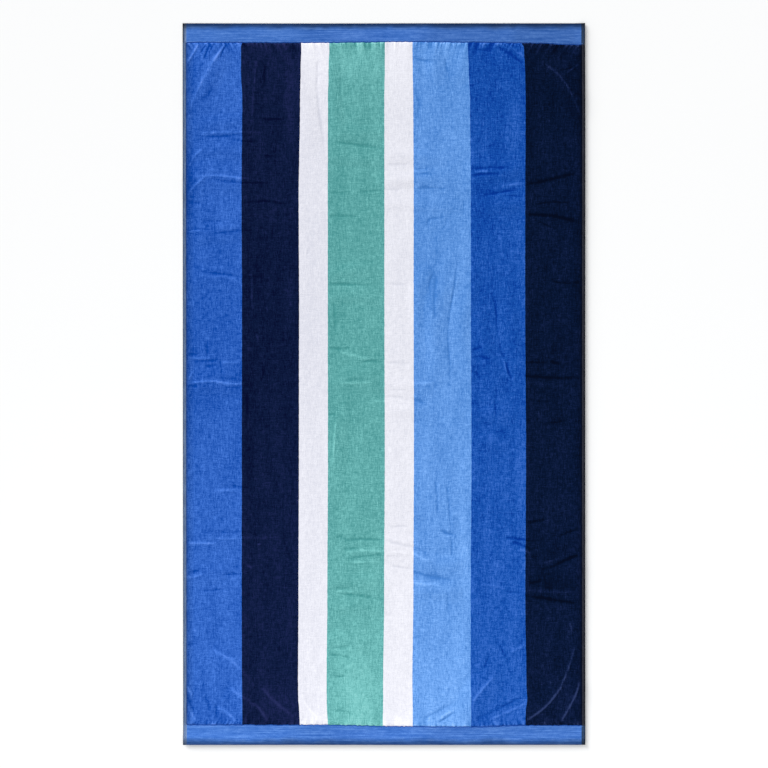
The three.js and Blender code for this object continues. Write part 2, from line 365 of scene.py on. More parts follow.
# %% Table of the creases pressed into the nap towards the head
CREASES = table(FOLD, [
    # head, left corner
    (-444, 813, -454, 797, -471, 768, 6, 1.5),
    (-380, 812, -394, 792, -408, 770, 6, 1.4),
    (-398, 790, -430, 735, -462, 662, 12, 0.8),
    (-424, 812, -432, 802, -441, 790, 4, -1.1),
    (-415, 812, -423, 796, -431, 777, 5, -1.2),
    (-407, 812, -413, 801, -420, 788, 4, -1),
    (-376, 812, -384, 798, -392, 780, 4, -1),
    (-404, 713, -419, 694, -433, 675, 13, -0.5),
    (-304, 775, -313, 692, -315, 620, 6, 0.8),
    (-281, 775, -285, 739, -286, 708, 7, -0.6),
    (-292, 634, -266, 634, -239, 634, 6, -0.8),
    # upper left
    (-447, 601, -369, 601, -292, 602, 6, 0.7),
    (-440, 592, -390, 591, -341, 596, 6, -0.8),
    (-366, 584, -333, 581, -299, 580, 6, -0.6),
    (-428, 568, -451, 547, -464, 523, 7, 0.6),
    (-294, 546, -268, 544, -242, 543, 6, -0.6),
    (-459, 493, -388, 498, -292, 486, 6, 0.8),
    (-419, 490, -345, 483, -275, 478, 6, -0.9),
    (-425, 496, -457, 467, -469, 442, 7, 0.9),
    (-469, 434, -450, 433, -431, 434, 6, -0.6),
    (-337, 433, -285, 436, -230, 430, 6, -0.8),
    (-436, 390, -414, 390, -390, 390, 6, -0.6),
    (-467, 363, -451, 367, -436, 367, 5, 0.7),
    (-469, 370, -445, 371, -424, 370, 5, -0.5),
    (-419, 359, -369, 363, -313, 367, 6, -0.6),
    (-260, 388, -266, 367, -266, 345, 6, -0.7),
    # head, white and green
    (-158, 775, -157, 668, -143, 567, 8, -0.9),
    (-104, 732, -104, 708, -104, 687, 5, -0.5),
    (-117, 580, -79, 574, -2, 562, 7, -0.9),
    (7, 526, 31, 526, 55, 526, 8, -0.7),
    (0, 467, 22, 465, 43, 465, 6, -0.6),
    (-61, 458, -34, 462, -2, 464, 6, -0.6),
    (-129, 456, -108, 456, -86, 456, 6, -0.5),
    (-129, 401, -98, 401, -67, 401, 7, -0.7),
    (-37, 452, -39, 438, -41, 421, 5, 0.5),
    # head, right corner
    (71, 783, 93, 773, 128, 771, 7, -0.8),
    (147, 781, 151, 759, 156, 735, 7, -0.8),
    (72, 708, 83, 670, 80, 643, 7, -0.7),
    (268, 810, 302, 787, 334, 765, 8, -1),
    (297, 809, 318, 794, 340, 780, 7, 0.6),
    (218, 800, 237, 800, 256, 800, 6, -0.6),
    (385, 769, 433, 720, 470, 642, 6, 1.2),
    (420, 790, 420, 778, 420, 763, 6, 0.7),
    (421, 749, 440, 753, 462, 757, 6, -0.6),
    (438, 742, 452, 753, 469, 763, 5, 0.6),
    # upper right
    (72, 514, 89, 514, 105, 514, 5, -0.6),
    (72, 499, 101, 502, 117, 498, 6, -0.7),
    (72, 467, 110, 468, 148, 467, 6, -0.7),
    (212, 516, 263, 517, 305, 514, 6, -0.8),
    (218, 508, 235, 508, 251, 508, 5, 0.7),
    (212, 499, 236, 502, 278, 502, 6, -0.8),
    (281, 472, 309, 476, 337, 480, 7, 0.6),
    (239, 451, 278, 457, 324, 466, 7, -0.9),
    (284, 450, 309, 450, 334, 451, 6, -0.6),
    (342, 478, 406, 491, 459, 503, 9, -1.2),
    (364, 430, 404, 434, 445, 431, 6, -0.7),
    (345, 406, 403, 400, 470, 387, 8, -1.5),
    (373, 385, 392, 378, 414, 369, 5, -0.6),
    (139, 397, 110, 395, 105, 376, 6, -0.8),
    (150, 402, 150, 390, 150, 378, 5, -0.5),
    (190, 443, 190, 421, 190, 397, 4, -0.6),
])
print(len(CREASES), "creases towards the head")

# %% Table of the creases across the middle
CREASES += table(FOLD, [
    # middle, left
    (-438, 269, -398, 263, -342, 258, 6, -0.8),
    (-342, 258, -313, 257, -284, 257, 6, -0.5),
    (-430, 250, -390, 256, -350, 250, 5, 0.6),
    (-316, 275, -314, 225, -313, 176, 5, 1),
    (-179, 319, -181, 313, -183, 309, 4, -1),
    (-424, 110, -422, 86, -421, 65, 6, -0.7),
    (-471, 73, -457, 72, -440, 72, 6, -0.8),
    (-469, 63, -443, 62, -416, 61, 5, 0.7),
    (-455, 56, -424, 55, -395, 56, 6, -0.8),
    (-392, 55, -388, 34, -385, 10, 5, -0.6),
    (-390, 50, -366, 50, -342, 49, 5, 0.6),
    (-431, 43, -414, 42, -397, 43, 6, -0.6),
    (-457, 31, -464, 19, -469, 7, 6, 0.8),
    (-471, 1, -428, 5, -383, 4, 6, 1),
    (-402, 2, -369, 0, -333, 1, 6, 1),
    (-390, 12, -364, 12, -340, 11, 6, -0.6),
    (-469, -5, -457, -6, -443, -5, 6, -1),
    (-380, -9, -361, -9, -342, -8, 5, -0.5),
    (-306, 120, -303, 110, -302, 101, 6, 0.9),
    (-291, 53, -286, 29, -292, 5, 5, -0.7),
    (-328, -19, -328, -57, -330, -105, 7, -0.9),
    # middle, green and white
    (-131, 241, -103, 238, -31, 235, 7, -1),
    (8, 242, 33, 239, 56, 237, 6, -0.7),
    (-122, 197, -118, 160, -115, 123, 5, -0.6),
    (-129, 86, -105, 85, -81, 86, 7, -0.9),
    (-105, 77, -69, 67, -29, 57, 8, 0.6),
    (-55, 50, -34, 54, -2, 51, 6, -1),
    (5, 51, 34, 50, 62, 49, 6, -0.5),
    (-110, 4, -69, 0, -29, 2, 6, 0.7),
    (-93, 10, -69, 10, -45, 10, 5, -0.5),
    (2, -30, 29, -31, 60, -38, 8, -0.6),
    (5, -13, 29, -13, 55, -14, 5, -0.5),
    (-29, -43, -7, -41, 14, -43, 6, 0.6),
    (-112, -86, -118, -134, -124, -194, 5, 0.7),
    (-129, -74, -122, -74, -112, -75, 5, -0.7),
    # middle, right
    (117, 261, 111, 247, 107, 218, 6, -0.7),
    (124, 258, 122, 208, 123, 157, 6, -0.8),
    (176, 293, 163, 201, 152, 115, 5, -0.8),
    (152, 122, 154, 77, 160, 5, 5, -0.8),
    (69, 1, 93, 1, 120, 1, 6, 0.6),
    (69, -37, 84, -41, 98, -47, 9, -1),
    (257, 218, 268, 172, 272, 115, 6, -0.8),
    (211, 80, 223, 83, 235, 89, 7, -0.7),
    (225, 69, 239, 63, 256, 61, 7, -1),
    (218, 31, 225, 24, 232, 14, 8, -0.8),
    (278, 98, 282, 81, 290, 62, 6, -0.8),
    (294, 53, 298, 31, 305, 10, 6, -1.1),
    (286, 57, 292, 34, 296, 14, 5, 0.7),
    (318, 43, 323, 31, 328, 17, 6, -0.7),
    (268, -2, 268, -43, 267, -89, 6, -0.5),
    (235, -93, 249, -98, 268, -102, 7, -0.5),
    (406, 245, 436, 241, 469, 241, 7, -1),
    (342, 50, 366, 50, 392, 50, 6, -0.8),
    (400, 54, 412, 50, 428, 47, 7, -1.1),
    (335, 17, 400, 15, 468, 14, 8, -1.2),
    (342, 2, 385, -1, 436, -7, 9, 0.4),
    (349, -39, 373, -41, 402, -42, 6, -0.5),
    (369, -65, 371, -74, 376, -86, 5, 0.8),
    (380, -97, 400, -95, 438, -89, 8, -0.6),
    (433, -112, 431, -124, 430, -136, 5, 0.4),
])
print(len(CREASES), "creases from the head to the middle")

# %% Table of the creases towards the foot
CREASES += table(FOLD, [
    # lower left
    (-371, -248, -354, -246, -325, -248, 7, -0.9),
    (-407, -258, -373, -256, -342, -254, 9, 0.5),
    (-438, -354, -388, -353, -333, -354, 9, -0.5),
    (-428, -366, -388, -369, -337, -369, 7, 0.5),
    (-342, -369, -311, -370, -273, -369, 7, 0.4),
    (-469, -382, -438, -382, -404, -381, 6, 1.2),
    (-302, -386, -297, -386, -292, -386, 5, 1.5),
    (-469, -450, -455, -449, -438, -444, 9, -0.8),
    (-471, -463, -457, -462, -433, -456, 6, 0.6),
    (-388, -459, -364, -456, -340, -457, 7, -0.6),
    (-443, -492, -416, -495, -380, -492, 7, -0.6),
    (-330, -434, -321, -439, -311, -445, 7, 0.9),
    # lower, green and white
    (-115, -369, -103, -367, -91, -373, 9, -0.8),
    (-96, -376, -53, -371, 0, -373, 7, -0.9),
    (17, -342, 38, -341, 60, -342, 6, -0.6),
    (5, -373, 38, -385, 74, -392, 8, -1.5),
    (-101, -395, -81, -394, -60, -392, 6, -0.7),
    (-93, -404, -45, -398, 5, -401, 8, 0.6),
    (5, -403, 34, -404, 65, -409, 7, 0.5),
    (-86, -418, -53, -412, 0, -408, 8, -0.7),
    (5, -414, 31, -414, 57, -416, 6, -0.5),
    (-93, -426, -62, -426, -22, -424, 6, 0.6),
    (14, -436, 38, -440, 67, -444, 7, -0.8),
    (-112, -495, -93, -496, -67, -498, 6, 0.6),
    (-103, -502, -57, -507, 0, -517, 7, -0.8),
    (-124, -488, -103, -488, -81, -486, 6, -0.6),
    # lower right
    (124, -230, 127, -273, 127, -318, 6, -0.6),
    (132, -235, 133, -270, 134, -306, 5, 0.3),
    (151, -242, 156, -302, 160, -357, 5, -0.8),
    (136, -349, 148, -356, 168, -360, 7, -1.2),
    (160, -364, 163, -388, 163, -412, 5, -0.7),
    (77, -392, 89, -397, 103, -404, 7, -0.9),
    (69, -404, 86, -414, 112, -426, 9, 0.8),
    (69, -449, 110, -459, 165, -471, 12, -1.2),
    (69, -473, 91, -478, 134, -482, 9, 0.8),
    (151, -498, 152, -522, 152, -550, 8, -0.8),
    (292, -369, 318, -370, 364, -376, 7, -1),
    (306, -377, 330, -384, 359, -400, 7, -1.1),
    (318, -395, 337, -399, 357, -409, 6, 1.2),
    (235, -479, 266, -483, 299, -492, 6, 0.6),
    (290, -495, 311, -500, 333, -501, 5, -0.5),
    (345, -331, 361, -329, 388, -324, 7, -1),
    (416, -369, 436, -359, 467, -349, 8, -0.9),
    (366, -431, 390, -428, 424, -418, 7, 0.6),
    (376, -447, 392, -442, 412, -437, 6, -0.8),
    (404, -437, 433, -424, 467, -409, 9, -1.5),
    (347, -480, 359, -476, 376, -473, 9, -1),
    (376, -476, 376, -491, 376, -505, 5, 0.5),
    (342, -495, 402, -498, 471, -495, 10, 0.6),
    (340, -509, 402, -516, 471, -526, 8, -1.2),
    # foot, left corner and green
    (-120, -632, -101, -631, -74, -627, 6, -0.6),
    (-129, -650, -108, -651, -79, -655, 6, -0.8),
    (-122, -696, -110, -700, -93, -700, 6, -0.7),
    (-459, -586, -452, -593, -443, -605, 8, 0.7),
    (-471, -623, -464, -625, -455, -625, 7, -0.9),
    (-409, -637, -373, -656, -337, -690, 9, 0.8),
    (-337, -689, -321, -708, -311, -730, 9, 0.6),
    (-364, -732, -345, -745, -316, -760, 9, 0.7),
    (-321, -761, -297, -775, -278, -806, 7, 1.5),
    (-292, -725, -258, -761, -206, -806, 8, 1.2),
    (-474, -720, -467, -732, -459, -744, 7, 1.3),
    (-471, -747, -464, -763, -455, -785, 8, -0.8),
    (-469, -771, -462, -788, -447, -809, 6, 0.8),
    (-431, -747, -421, -763, -416, -783, 7, -0.7),
    (-397, -777, -376, -787, -352, -811, 8, 1),
    (-402, -766, -401, -785, -400, -806, 7, -0.9),
    (-196, -756, -175, -783, -148, -809, 7, 0.6),
    (-120, -778, -93, -785, -60, -797, 8, -0.5),
    # foot, right corner
    (91, -804, 129, -785, 168, -763, 9, -0.6),
    (134, -804, 148, -793, 168, -783, 6, 0.7),
    (132, -811, 148, -802, 170, -786, 6, -0.9),
    (266, -699, 239, -727, 211, -761, 8, 0.9),
    (254, -651, 244, -672, 237, -692, 8, -0.7),
    (340, -766, 302, -783, 251, -804, 7, 0.8),
    (333, -750, 290, -769, 227, -798, 10, -0.6),
    (340, -620, 323, -632, 304, -641, 8, 0.6),
    (278, -626, 282, -635, 287, -646, 5, -0.6),
    (457, -632, 440, -684, 421, -732, 6, 1.2),
    (426, -725, 390, -771, 342, -806, 6, 1.7),
    (471, -704, 455, -754, 424, -809, 6, 1.6),
    (447, -570, 450, -584, 450, -601, 6, 0.8),
])
print(len(CREASES), "creases in all")

# %% Work out a fold's reach
FOLD_STEPS = 12

# How long the waves of the drift are, in millimetres over 2 pi
SIDEWAYS, UPWARDS = table("across along", [(57, 31), (29, -43)])


def drift(x, y, wander):
    """Places moved aside by a few millimetres, so that a line through them wanders."""
    aside = np.sin(x / SIDEWAYS.across + y / SIDEWAYS.along)
    up = np.sin(x / UPWARDS.across + y / UPWARDS.along)
    return x + wander * aside, y + wander * up


def fold_line(fold):
    """Points along a smooth curve over the fold's three places."""
    a, b, c = np.array(fold[:6], float).reshape(3, 2)
    share = np.linspace(0, 1, FOLD_STEPS // 2 + 1)[:, None]
    begin, end = 2 * share ** 3 - 3 * share ** 2 + 1, 3 * share ** 2 - 2 * share ** 3
    leave, arrive = share ** 3 - 2 * share ** 2 + share, share ** 3 - share ** 2
    first = begin * a + end * b + leave * (b - a) / 2 + arrive * (c - a) / 2
    second = begin * b + end * c + leave * (c - a) / 2 + arrive * (c - b) / 2
    return np.concatenate([first, second[1:]])


def reach(fold, x, y):
    """Which points the fold reaches, how far they lie from it in half widths, and its strength."""
    line = fold_line(fold)
    low = line.min(0) - fold.half
    high = line.max(0) + fold.half
    near = np.flatnonzero((x > low[0]) & (x < high[0]) & (y > low[1]) & (y < high[1]))
    place = np.stack([x[near], y[near]], 1)
    nearest = np.full(len(near), np.inf)
    strength = np.zeros(len(near))
    for step in range(FOLD_STEPS):
        start, along = line[step], line[step + 1] - line[step]
        share = np.clip((place - start) @ along / (along @ along), 0, 1)
        distance = np.linalg.norm(place - start - share[:, None] * along, axis=1)
        closer = distance < nearest
        nearest[closer] = distance[closer]
        strength[closer] = np.sin(np.pi * (step + share[closer]) / FOLD_STEPS)
    return near, np.clip(nearest / fold.half, 0, 1), strength


print("folds are read in", FOLD_STEPS, "steps")

# %% Shape the folds
SHOULDER_PEAK = 4 / 27
FOLD_WANDER = 4
FOLD_FADE = 1


def ridge(across):
    """Height of a ridge, from one on its line to nothing at its foot."""
    return (1 - across ** 2) ** 2


def pressed(across):
    """Height of a crease, which is keen on its line."""
    return (1 - across) ** 2


def shoulders(across):
    """Height of a trough's shoulders: nothing on its line, one beside it, nothing at its foot."""
    return across ** 2 * (1 - across ** 2) ** 2 / SHOULDER_PEAK


def raised(folds, x, y, shape, wander, fade):
    """The height that a table of folds gives to each place. A small fade keeps their ends full."""
    x, y = drift(x, y, wander)
    height = np.zeros(len(x))
    for fold in folds:
        near, across, strength = reach(fold, x, y)
        height[near] += fold.rise * strength ** fade * shape(across)
    return height


print("a ridge halfway down its side stands at", round(ridge(0.5), 2))

# %% Lift the cloth
CURLS = table("edge lift width", [
    ("left", 0.5, 3), ("right", 5.2, 32), ("foot", 7, 40), ("head", 0.5, 3)])


def curled(x, y):
    """How high the towel's edges curl off the floor."""
    place = inset(x, y)
    return np.max([
        curl.lift * np.clip(1 - getattr(place, curl.edge) / curl.width, 0, 1) ** 2
        for curl in CURLS], axis=0)


def lifted(x, y):
    """How high the main folds and the curled edges hold the cloth's underside over the floor."""
    folds = raised(RIDGES, x, y, ridge, FOLD_WANDER, FOLD_FADE)
    folds += raised(TROUGHS, x, y, shoulders, FOLD_WANDER, FOLD_FADE)
    return folds + curled(x, y)


print("edges curl up by", max(curl.lift for curl in CURLS), "mm")

# %% [markdown]
# ## Unevenness of the nap
# Between its creases the nap still rises and falls by a tenth of a millimetre, and the sewing gathers
# it into puckers that die away within a few centimetres of the seam. Both come from the smooth noise
# above, the puckers from one that is clipped to a flat top. The creases are broken up by it too,
# since no real one is pressed evenly, and all of them fade out where the sewing holds the nap down.

# %% Work out the nap's relief
NAP_RIPPLES = table(RIPPLE, [
    (6, 8, 0.07, 11), (13, 15, 0.1, 12), (30, 34, 0.13, 13), (70, 90, 0.18, 14), (7, 60, 0.03, 15),
    (60, 7, 0.03, 16),
])
PUCKERS = table("spacing height length seed", [
    (2.6, 0.6, 7, 21), (5.5, 0.6, 12, 22), (14, 0.35, 22, 23),
])
PUCKER_SLANT = 1.5
PUCKER_GAIN = 2  # the noise is doubled before it is clipped, which flattens a pucker's top
FOOT_SHARE = 0.5
FOOT_NOISE = 977
CREASE_WANDER = 1.2
CREASE_FADE = 0.5
CREASE_HEIGHT = 0.8
CREASE_BREAKS = table(RIPPLE, [(11, 11, 0.4, 71)])
FREE_OF_SEAM = [(-1, 0), (2, 1)]
FREE_OF_HEM = [(6, 0), (14, 1)]


def settled(place):
    """How free the nap is of the sewing beside it, from not at all to wholly."""
    return profile(FREE_OF_SEAM, place.seam) * profile(FREE_OF_HEM, place.side)


def puckered(x, y):
    """The gathers beside the seams, which lean outwards towards the towel's corners.

    The foot's are lower than the head's, and read their noise far away from them.
    """
    seam = np.maximum(inset(x, y).seam, 0)
    gathered = x + PUCKER_SLANT * seam * x / WIDTH
    noise_row = np.where(y > 0, 0, FOOT_NOISE)
    height = np.zeros(len(x))
    for pucker in PUCKERS:
        noise = waver(gathered, noise_row, pucker.spacing, 1, pucker.seed)
        gather = np.clip(PUCKER_GAIN * noise, -1, 1)
        height += pucker.height * gather * np.exp(-seam / pucker.length)
    return np.where(y > 0, 1, FOOT_SHARE) * height


def pressed_in(x, y):
    """How far the creases and puckers raise or lower the nap."""
    creases = raised(CREASES, x, y, pressed, CREASE_WANDER, CREASE_FADE)
    creases *= CREASE_HEIGHT * (1 + rippled(CREASE_BREAKS, x, y))
    return settled(inset(x, y)) * (creases + puckered(x, y))


print(len(NAP_RIPPLES), "ripples and", len(PUCKERS), "kinds of pucker")

# %% [markdown]
# ## Ground cloth
# The ground is a closed sheet a millimetre thick, and it carries the headers and the side hems, where
# the cloth is turned under and lies double. It starts as a flat grid, extruded once to give it an
# upper and a lower face. Its rows lie close at the headers and seams and far apart under the pile,
# where only the folds show, and every point is then moved to its place in the plan and its height.

# %% Work out where each row and column lies
# How far in from the edge a border's columns and rows lie, and how far from the seam
HEM_STATIONS = [0, 0.8, 2, 4, 5.8, 6.8, 7.7, 9.0]
HEADER_STATIONS = [0, 0.9, 2.2, 4, 6.5, 9.5, 13]
HEADER_SHARES = [0.36, 0.43, 0.5, 0.57, 0.64, 0.71, 0.78, 0.85]
SEAM_STATIONS = [-5, -3.8, -2.8, -1.9, -1.1, -0.5, 0, 0.5, 1.4, 4]
COLUMNS = 300
ROWS = 152


def along_header(x, end):
    """Insets of a header's rows from the towel's overall end, one row of the result for each."""
    edge = eased(END_DRIFT, x, end)
    seam = seam_inset(x, end)
    rows = [edge + offset for offset in HEADER_STATIONS]
    rows += [edge + (seam - edge) * share for share in HEADER_SHARES]
    rows += [seam + offset for offset in SEAM_STATIONS]
    return np.array(rows)


def between(divisions, taken):
    """Shares that divide what is left of a grid, once both its borders have taken their lines."""
    return np.linspace(0, 1, divisions + 3 - 2 * taken)[1:-1]


def plan():
    """The x and y of every point of the ground's grid."""
    hem = np.array(HEM_STATIONS)
    straight = WIDTH / 2 - hem[-1]
    field = (2 * between(COLUMNS, len(hem)) - 1) * straight
    x = np.concatenate([hem - WIDTH / 2, field, WIDTH / 2 - hem[::-1]])
    foot = along_header(x, "foot") - LENGTH / 2
    head = LENGTH / 2 - along_header(x, "head")[::-1]
    share = between(ROWS, len(foot))[:, None]
    y = np.concatenate([foot, foot[-1] * (1 - share) + head[0] * share, head])
    x = np.broadcast_to(x, y.shape)
    left = eased(SIDE_DRIFT, y, "left") * np.clip(0.5 - x / WIDTH, 0, 1)
    right = eased(SIDE_DRIFT, y, "right") * np.clip(0.5 + x / WIDTH, 0, 1)
    return x + left - right, y


grid_x, grid_y = plan()
print("grid of", grid_x.shape[1], "columns and", grid_x.shape[0], "rows of points")


# %% Add a sheet and move its points
def read(items, name, width, kind=float):
    """One value of each of a mesh's items, as an array with a row for each."""
    values = np.empty(len(items) * width, kind)
    items.foreach_get(name, values)
    return values.reshape(-1, width)


def edit(operator, **settings):
    """Runs an edit mode operator on all of the active piece."""
    bpy.ops.object.mode_set(mode="EDIT")
    bpy.ops.mesh.select_all(action="SELECT")
    operator(**settings)
    bpy.ops.object.mode_set(mode="OBJECT")


def add_sheet(name, columns, rows):
    """A closed unit sheet: a flat grid, extruded once into an upper and a lower face."""
    bpy.ops.object.select_all(action="DESELECT")
    bpy.ops.mesh.primitive_grid_add(x_subdivisions=columns, y_subdivisions=rows, size=1)
    piece = bpy.context.object
    piece.name = piece.data.name = name
    edit(bpy.ops.mesh.extrude_region_move, TRANSFORM_OT_translate={"value": (0, 0, -1)})
    return piece


def grid_places(piece, columns, rows):
    """Which column and row of a unit sheet each point stands in, and whether it is on top."""
    x, y, z = read(piece.data.vertices, "co", 3).T
    column = np.rint((x + 0.5) * columns).astype(int)
    row = np.rint((y + 0.5) * rows).astype(int)
    return column, row, z > -0.5


def move_points(piece, x, y, z):
    """Moves each of a piece's points to its place, in millimetres."""
    piece.data.vertices.foreach_set("co", (np.stack([x, y, z], 1) * MM).ravel())


cloth = add_sheet("towel_cloth", COLUMNS, ROWS)
column, row, upper = grid_places(cloth, COLUMNS, ROWS)
x, y = grid_x[row, column], grid_y[row, column]
print(len(x), "points,", upper.sum(), "on the upper face")

# %% Give the sheet its thickness and folds
# The thickness at each distance from the side, from the seam and from the nearest edge
HEM_THICKNESS = [(6.2, 1.8), (7.5, 1.5), (8.4, 0)]
HEADER_THICKNESS = [(-8, 2.3), (-3.6, 2.25), (-2, 2.05), (-1, 1.7), (0, 1.3), (1.4, 0)]
EDGE_THICKNESS = [(0, 0.9), (0.8, 1.45), (2, 1.8), (5, 2.05), (9, 2.3), (14, PILE)]
HEADER_RIPPLES = table(RIPPLE, [(28, 5, 0.10, 31), (60, 16, 0.12, 32), (12, 9, 0.10, 33)])
RIPPLES_FULL = 4  # how far from the seam they reach their full height


def ground_thickness(x, y):
    """The ground's thickness: double in the hems and headers, and thin at each row of sewing."""
    place = inset(x, y)
    ripples = np.clip(-place.seam / RIPPLES_FULL, 0, 1) * rippled(HEADER_RIPPLES, x, y)
    header = profile(HEADER_THICKNESS, place.seam) + ripples
    double = np.maximum(profile(HEM_THICKNESS, place.side), header)
    rounded = profile(EDGE_THICKNESS, np.minimum(place.side, place.end))
    return np.minimum(np.maximum(double, GROUND), rounded)


z = lifted(x, y) + np.where(upper, ground_thickness(x, y), 0)
move_points(cloth, x, y, z)
print(f"cloth {z.max():.1f} mm high")

# %% Shade its edges and seams
# The light kept at each distance from the edge, painted into the colour as shade
HEAD_SHADE = [
    (0, 0.15), (1.5, 0.16), (4, 0.2), (6.5, 0.28), (8.5, 0.41), (10.5, 0.57), (13, 0.75),
    (16, 0.88), (19, 0.93)]
FOOT_SHADE = [
    (0, 0.32), (1.5, 0.32), (4, 0.37), (6.5, 0.44), (8.5, 0.55), (10.5, 0.67), (13, 0.81),
    (16, 0.95), (19, 1)]
SIDE_SHADE = [(0, 0.45), (1.5, 0.52), (4, 0.96), (6.5, 1)]
CORNER_SHADE = [(0, 0.14), (3, 0.6), (6, 1)]
SHADE_RIPPLES = table(RIPPLE, [(45, 40, 2.2, 61), (14, 12, 1.2, 62)])
# Painted shade along each header: lighter and darker where creases cross it and the light falls
# unevenly
HEADER_PAINTED_SHADE = table("x head foot", [
    (-482, 1.06, 1.07), (-260, 1.02, 1.01), (-165, 0.98, 0.91), (50, 1.04, 1.0), (140, 0.91, 0.9),
    (290, 0.9, 0.9), (325, 0.81, 0.92), (482, 0.8, 0.9),
])

# How much painted shade darkens the seam's crevice at each distance from the seam
CREVICE_SHADE_PROFILE = [(-2.7, 0), (-1.5, 0.4), (-0.9, 1), (0, 1), (1.4, 0)]


def shaded(x, y):
    """How much light each place of a header or hem keeps where the cloth rolls over or dips.

    Painted shade: a corner fold darkens the left end of the head's header, and each header is painted
    lighter and darker along its length, where creases cross it and the light falls unevenly.
    """
    place = inset(x, y)
    uneven = rippled(SHADE_RIPPLES, x, y)
    at_head, in_header = y > 0, place.seam < 0
    end = np.where(
        at_head, profile(HEAD_SHADE, place.head + uneven), profile(FOOT_SHADE, place.foot + uneven))
    corner = np.where(at_head & in_header, profile(CORNER_SHADE, place.left), 1)
    header_shade = np.where(at_head, eased(HEADER_PAINTED_SHADE, x, "head"), eased(HEADER_PAINTED_SHADE, x, "foot"))
    return end * profile(SIDE_SHADE, place.side) * corner * np.where(in_header, header_shade, 1)


def give_layers(piece, layers):
    """Stores a number for each point of a piece, under each layer's name."""
    for name, values in layers.items():
        layer = piece.data.attributes.new(name, "FLOAT", "POINT")
        layer.data.foreach_set("value", values.astype(np.float32))
    piece.data.update()


from_seam = inset(x, y).seam
give_layers(cloth, {
    "from_seam": from_seam, "shade": shaded(x, y), "crevice_shade": profile(CREVICE_SHADE_PROFILE, from_seam)})
print("the head's edge keeps", HEAD_SHADE[0][1], "of its light")


# %% Make the faces point outwards
def finish_mesh(piece):
    """Turns a piece's faces outwards and shades it smooth, but for its sharp edges."""
    bpy.ops.object.select_all(action="DESELECT")
    piece.select_set(True)
    bpy.context.view_layer.objects.active = piece
    edit(bpy.ops.mesh.normals_make_consistent, inside=False)
    bpy.ops.object.shade_smooth_by_angle(angle=math.radians(50))


finish_mesh(cloth)
print(len(cloth.data.polygons), "faces in the ground cloth")
